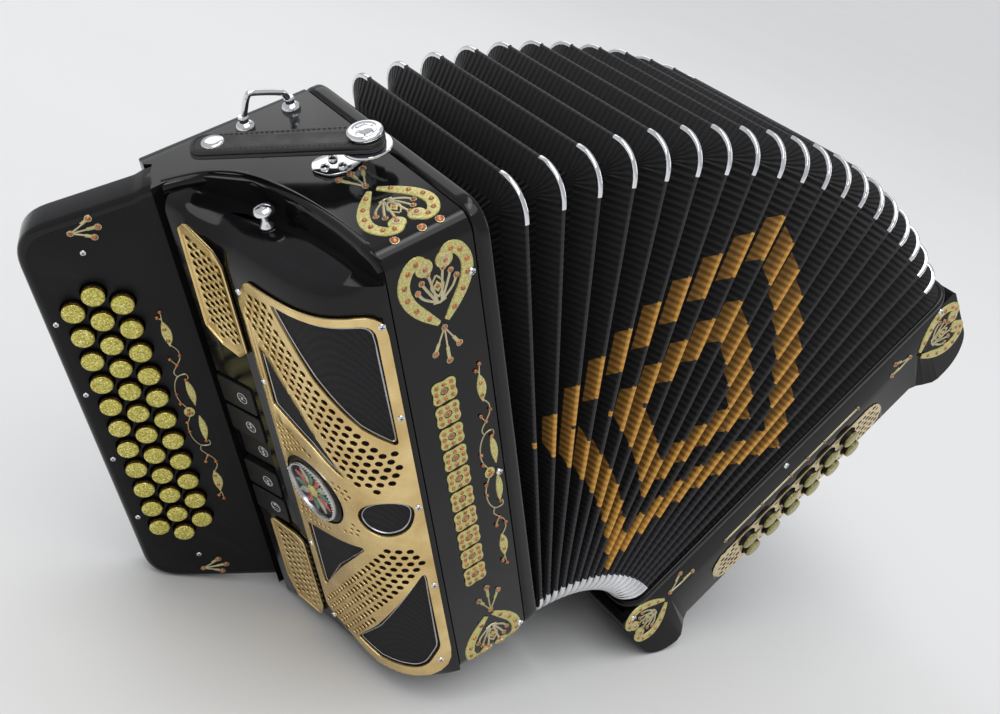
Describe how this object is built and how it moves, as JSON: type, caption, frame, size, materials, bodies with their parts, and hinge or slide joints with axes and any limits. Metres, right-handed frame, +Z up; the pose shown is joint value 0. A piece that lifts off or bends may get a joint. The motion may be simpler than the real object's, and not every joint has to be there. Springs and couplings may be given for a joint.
{
  "type": "diatonic button accordion",
  "caption": "Hand-held button accordion: curved grille cover, slanted fingerboard, hinged fan of bellows folds and a bass casing with hand strap.",
  "frame": {"origin": "on the floor, under the middle of the instrument's bounding box", "axes": "+X from the treble side to the bass side, +Y from the front face to the player, +Z up; the treble casing leans outwards so that its lower edge and the bass casing's foot both touch the floor"},
  "size_m": [0.6494, 0.1844, 0.3857],
  "materials": {
    "black_celluloid": "polished",
    "satin_black": "satin",
    "gold_plate": "polished",
    "glitter_gold": "glitter",
    "chrome": "polished",
    "bellows_cloth": "ribbed",
    "leather": "stitched",
    "spruce": "plain",
    "reed_plate": "brushed",
    "register_black": "satin"
  },
  "bodies": {
    "treble_side": {"treble_frame": "black_celluloid", "treble_cover": "black_celluloid", "main_grille": "gold_plate", "upper_side_grille": "gold_plate", "lower_side_grille": "gold_plate", "fingerboard": "satin_black", "fingerboard_housing": "black_celluloid", "treble_soundboard": "spruce", "treble_reed_block": "reed_plate", "strap_loop_bracket": "chrome", "shoulder_strap_stud": "chrome", "strap_bracket": "chrome", "strap_knob": "chrome", "treble_bellows_frame": "black_celluloid"},
    "bass_side": {"bass_casing": "black_celluloid", "bass_bellows_frame": "black_celluloid", "bass_button_plate": "gold_plate", "bass_reed_block": "reed_plate", "bass_hand_strap": "leather"},
    "strap": {"bellows_strap": "leather"},
    "treble_row_outer": {"treble_buttons_outer_row": "glitter_gold"},
    "treble_row_middle": {"treble_buttons_middle_row": "glitter_gold"},
    "treble_row_inner": {"treble_buttons_inner_row": "glitter_gold"},
    "register_1": {"register_tab_1": "register_black"},
    "register_2": {"register_tab_2": "register_black"},
    "register_3": {"register_tab_3": "register_black"},
    "register_4": {"register_tab_4": "register_black"},
    "register_5": {"register_tab_5": "register_black"},
    "fold_01": {"bellows_fold_01": "bellows_cloth"},
    "fold_02": {"bellows_fold_02": "bellows_cloth"},
    "fold_03": {"bellows_fold_03": "bellows_cloth"},
    "fold_04": {"bellows_fold_04": "bellows_cloth"},
    "fold_05": {"bellows_fold_05": "bellows_cloth"},
    "fold_06": {"bellows_fold_06": "bellows_cloth"},
    "fold_07": {"bellows_fold_07": "bellows_cloth"},
    "fold_08": {"bellows_fold_08": "bellows_cloth"},
    "fold_09": {"bellows_fold_09": "bellows_cloth"},
    "fold_10": {"bellows_fold_10": "bellows_cloth"},
    "fold_11": {"bellows_fold_11": "bellows_cloth"},
    "fold_12": {"bellows_fold_12": "bellows_cloth"},
    "fold_13": {"bellows_fold_13": "bellows_cloth"},
    "fold_14": {"bellows_fold_14": "bellows_cloth"},
    "fold_15": {"bellows_fold_15": "bellows_cloth"},
    "fold_16": {"bellows_fold_16": "bellows_cloth"},
    "fold_17": {"bellows_fold_17": "bellows_cloth"},
    "fold_18": {"bellows_fold_18": "bellows_cloth"},
    "fold_19": {"bellows_fold_19": "bellows_cloth"},
    "air_valve": {"air_button": "chrome"},
    "bass_key_01": {"bass_button_01": "glitter_gold"},
    "bass_key_02": {"bass_button_02": "glitter_gold"},
    "bass_key_03": {"bass_button_03": "glitter_gold"},
    "bass_key_04": {"bass_button_04": "glitter_gold"},
    "bass_key_05": {"bass_button_05": "glitter_gold"},
    "bass_key_06": {"bass_button_06": "glitter_gold"},
    "bass_key_07": {"bass_button_07": "glitter_gold"},
    "bass_key_08": {"bass_button_08": "glitter_gold"},
    "bass_key_09": {"bass_button_09": "glitter_gold"},
    "bass_key_10": {"bass_button_10": "glitter_gold"},
    "bass_key_11": {"bass_button_11": "glitter_gold"},
    "bass_key_12": {"bass_button_12": "glitter_gold"}
  },
  "joints": [
    {"name": "air_button_press", "type": "slide", "parent": "bass_side", "child": "air_valve", "axis": [-0.7755, 0, 0.6314], "range_m": [0, 0.006], "stiffness_N_per_m": 250, "springref_m": -0.003},
    {"name": "bellows_fan", "type": "hinge", "parent": "treble_side", "child": "fold_01", "pos_m": [-0.01802, 0, 0.05497], "axis": [0, 1, 0], "range_deg": [-3.42, 0]},
    {"name": "fold_hinge_02", "type": "hinge", "parent": "fold_01", "child": "fold_02", "pos_m": [-0.01383, 0, 0.05699], "axis": [0, 1, 0], "range_deg": [-3.42, 0]},
    {"name": "fold_hinge_03", "type": "hinge", "parent": "fold_02", "child": "fold_03", "pos_m": [-0.00953, 0, 0.05877], "axis": [0, 1, 0], "range_deg": [-3.42, 0]},
    {"name": "fold_hinge_04", "type": "hinge", "parent": "fold_03", "child": "fold_04", "pos_m": [-0.00512, 0, 0.06028], "axis": [0, 1, 0], "range_deg": [-3.42, 0]},
    {"name": "fold_hinge_05", "type": "hinge", "parent": "fold_04", "child": "fold_05", "pos_m": [-0.00064, 0, 0.06153], "axis": [0, 1, 0], "range_deg": [-3.42, 0]},
    {"name": "fold_hinge_06", "type": "hinge", "parent": "fold_05", "child": "fold_06", "pos_m": [0.00391, 0, 0.06251], "axis": [0, 1, 0], "range_deg": [-3.42, 0]},
    {"name": "fold_hinge_07", "type": "hinge", "parent": "fold_06", "child": "fold_07", "pos_m": [0.00851, 0, 0.06322], "axis": [0, 1, 0], "range_deg": [-3.42, 0]},
    {"name": "fold_hinge_08", "type": "hinge", "parent": "fold_07", "child": "fold_08", "pos_m": [0.01315, 0, 0.06365], "axis": [0, 1, 0], "range_deg": [-3.42, 0]},
    {"name": "fold_hinge_09", "type": "hinge", "parent": "fold_08", "child": "fold_09", "pos_m": [0.0178, 0, 0.0638], "axis": [0, 1, 0], "range_deg": [-3.42, 0]},
    {"name": "fold_hinge_10", "type": "hinge", "parent": "fold_09", "child": "fold_10", "pos_m": [0.02245, 0, 0.06368], "axis": [0, 1, 0], "range_deg": [-3.42, 0]},
    {"name": "fold_hinge_11", "type": "hinge", "parent": "fold_10", "child": "fold_11", "pos_m": [0.02709, 0, 0.06328], "axis": [0, 1, 0], "range_deg": [-3.42, 0]},
    {"name": "fold_hinge_12", "type": "hinge", "parent": "fold_11", "child": "fold_12", "pos_m": [0.0317, 0, 0.0626], "axis": [0, 1, 0], "range_deg": [-3.42, 0]},
    {"name": "fold_hinge_13", "type": "hinge", "parent": "fold_12", "child": "fold_13", "pos_m": [0.03626, 0, 0.06165], "axis": [0, 1, 0], "range_deg": [-3.42, 0]},
    {"name": "fold_hinge_14", "type": "hinge", "parent": "fold_13", "child": "fold_14", "pos_m": [0.04075, 0, 0.06043], "axis": [0, 1, 0], "range_deg": [-3.42, 0]},
    {"name": "fold_hinge_15", "type": "hinge", "parent": "fold_14", "child": "fold_15", "pos_m": [0.04516, 0, 0.05894], "axis": [0, 1, 0], "range_deg": [-3.42, 0]},
    {"name": "fold_hinge_16", "type": "hinge", "parent": "fold_15", "child": "fold_16", "pos_m": [0.04947, 0, 0.05719], "axis": [0, 1, 0], "range_deg": [-3.42, 0]},
    {"name": "fold_hinge_17", "type": "hinge", "parent": "fold_16", "child": "fold_17", "pos_m": [0.05368, 0, 0.05519], "axis": [0, 1, 0], "range_deg": [-3.42, 0]},
    {"name": "fold_hinge_18", "type": "hinge", "parent": "fold_17", "child": "fold_18", "pos_m": [0.05775, 0, 0.05294], "axis": [0, 1, 0], "range_deg": [-3.42, 0]},
    {"name": "fold_hinge_19", "type": "hinge", "parent": "fold_18", "child": "fold_19", "pos_m": [0.06169, 0, 0.05045], "axis": [0, 1, 0], "range_deg": [-3.42, 0]},
    {"name": "fold_hinge_20", "type": "hinge", "parent": "fold_19", "child": "bass_side", "pos_m": [0.06546, 0, 0.04774], "axis": [0, 1, 0], "range_deg": [-3.42, 0]},
    {"name": "bellows_strap_swing", "type": "hinge", "parent": "treble_side", "child": "strap", "pos_m": [-0.20353, -0.02242, 0.33622], "axis": [-0.4886, 0, 0.8725], "range_deg": [0, 219]},
    {"name": "button_bass_01", "type": "slide", "parent": "bass_side", "child": "bass_key_01", "axis": [-0.1546, 0.9799, 0.1259], "range_m": [0, 0.004], "stiffness_N_per_m": 200, "springref_m": -0.003},
    {"name": "button_bass_02", "type": "slide", "parent": "bass_side", "child": "bass_key_02", "axis": [-0.1546, 0.9799, 0.1259], "range_m": [0, 0.004], "stiffness_N_per_m": 200, "springref_m": -0.003},
    {"name": "button_bass_03", "type": "slide", "parent": "bass_side", "child": "bass_key_03", "axis": [-0.1546, 0.9799, 0.1259], "range_m": [0, 0.004], "stiffness_N_per_m": 200, "springref_m": -0.003},
    {"name": "button_bass_04", "type": "slide", "parent": "bass_side", "child": "bass_key_04", "axis": [-0.1546, 0.9799, 0.1259], "range_m": [0, 0.004], "stiffness_N_per_m": 200, "springref_m": -0.003},
    {"name": "button_bass_05", "type": "slide", "parent": "bass_side", "child": "bass_key_05", "axis": [-0.1546, 0.9799, 0.1259], "range_m": [0, 0.004], "stiffness_N_per_m": 200, "springref_m": -0.003},
    {"name": "button_bass_06", "type": "slide", "parent": "bass_side", "child": "bass_key_06", "axis": [-0.1546, 0.9799, 0.1259], "range_m": [0, 0.004], "stiffness_N_per_m": 200, "springref_m": -0.003},
    {"name": "button_bass_07", "type": "slide", "parent": "bass_side", "child": "bass_key_07", "axis": [-0.1546, 0.9799, 0.1259], "range_m": [0, 0.004], "stiffness_N_per_m": 200, "springref_m": -0.003},
    {"name": "button_bass_08", "type": "slide", "parent": "bass_side", "child": "bass_key_08", "axis": [-0.1546, 0.9799, 0.1259], "range_m": [0, 0.004], "stiffness_N_per_m": 200, "springref_m": -0.003},
    {"name": "button_bass_09", "type": "slide", "parent": "bass_side", "child": "bass_key_09", "axis": [-0.1546, 0.9799, 0.1259], "range_m": [0, 0.004], "stiffness_N_per_m": 200, "springref_m": -0.003},
    {"name": "button_bass_10", "type": "slide", "parent": "bass_side", "child": "bass_key_10", "axis": [-0.1546, 0.9799, 0.1259], "range_m": [0, 0.004], "stiffness_N_per_m": 200, "springref_m": -0.003},
    {"name": "button_bass_11", "type": "slide", "parent": "bass_side", "child": "bass_key_11", "axis": [-0.1546, 0.9799, 0.1259], "range_m": [0, 0.004], "stiffness_N_per_m": 200, "springref_m": -0.003},
    {"name": "button_bass_12", "type": "slide", "parent": "bass_side", "child": "bass_key_12", "axis": [-0.1546, 0.9799, 0.1259], "range_m": [0, 0.004], "stiffness_N_per_m": 200, "springref_m": -0.003},
    {"name": "button_treble_outer_row", "type": "slide", "parent": "treble_side", "child": "treble_row_outer", "axis": [0.3732, 0.9039, 0.209], "range_m": [0, 0.0035], "stiffness_N_per_m": 900, "springref_m": -0.003},
    {"name": "button_treble_middle_row", "type": "slide", "parent": "treble_side", "child": "treble_row_middle", "axis": [0.3732, 0.9039, 0.209], "range_m": [0, 0.0035], "stiffness_N_per_m": 900, "springref_m": -0.003},
    {"name": "button_treble_inner_row", "type": "slide", "parent": "treble_side", "child": "treble_row_inner", "axis": [0.3732, 0.9039, 0.209], "range_m": [0, 0.0035], "stiffness_N_per_m": 900, "springref_m": -0.003},
    {"name": "register_1_press", "type": "slide", "parent": "treble_side", "child": "register_1", "axis": [0.8337, 0.2947, 0.4669], "range_m": [0, 0.003]},
    {"name": "register_2_press", "type": "slide", "parent": "treble_side", "child": "register_2", "axis": [0.8337, 0.2947, 0.4669], "range_m": [0, 0.003]},
    {"name": "register_3_press", "type": "slide", "parent": "treble_side", "child": "register_3", "axis": [0.8337, 0.2947, 0.4669], "range_m": [-0.003, 0]},
    {"name": "register_4_press", "type": "slide", "parent": "treble_side", "child": "register_4", "axis": [0.8337, 0.2947, 0.4669], "range_m": [0, 0.003]},
    {"name": "register_5_press", "type": "slide", "parent": "treble_side", "child": "register_5", "axis": [0.8337, 0.2947, 0.4669], "range_m": [0, 0.003]}
  ],
  "couplings": [
    {"joint": "fold_hinge_02", "follows": "bellows_fan", "ratio": 1},
    {"joint": "fold_hinge_03", "follows": "bellows_fan", "ratio": 1},
    {"joint": "fold_hinge_04", "follows": "bellows_fan", "ratio": 1},
    {"joint": "fold_hinge_05", "follows": "bellows_fan", "ratio": 1},
    {"joint": "fold_hinge_06", "follows": "bellows_fan", "ratio": 1},
    {"joint": "fold_hinge_07", "follows": "bellows_fan", "ratio": 1},
    {"joint": "fold_hinge_08", "follows": "bellows_fan", "ratio": 1},
    {"joint": "fold_hinge_09", "follows": "bellows_fan", "ratio": 1},
    {"joint": "fold_hinge_10", "follows": "bellows_fan", "ratio": 1},
    {"joint": "fold_hinge_11", "follows": "bellows_fan", "ratio": 1},
    {"joint": "fold_hinge_12", "follows": "bellows_fan", "ratio": 1},
    {"joint": "fold_hinge_13", "follows": "bellows_fan", "ratio": 1},
    {"joint": "fold_hinge_14", "follows": "bellows_fan", "ratio": 1},
    {"joint": "fold_hinge_15", "follows": "bellows_fan", "ratio": 1},
    {"joint": "fold_hinge_16", "follows": "bellows_fan", "ratio": 1},
    {"joint": "fold_hinge_17", "follows": "bellows_fan", "ratio": 1},
    {"joint": "fold_hinge_18", "follows": "bellows_fan", "ratio": 1},
    {"joint": "fold_hinge_19", "follows": "bellows_fan", "ratio": 1},
    {"joint": "fold_hinge_20", "follows": "bellows_fan", "ratio": 1}
  ]
}
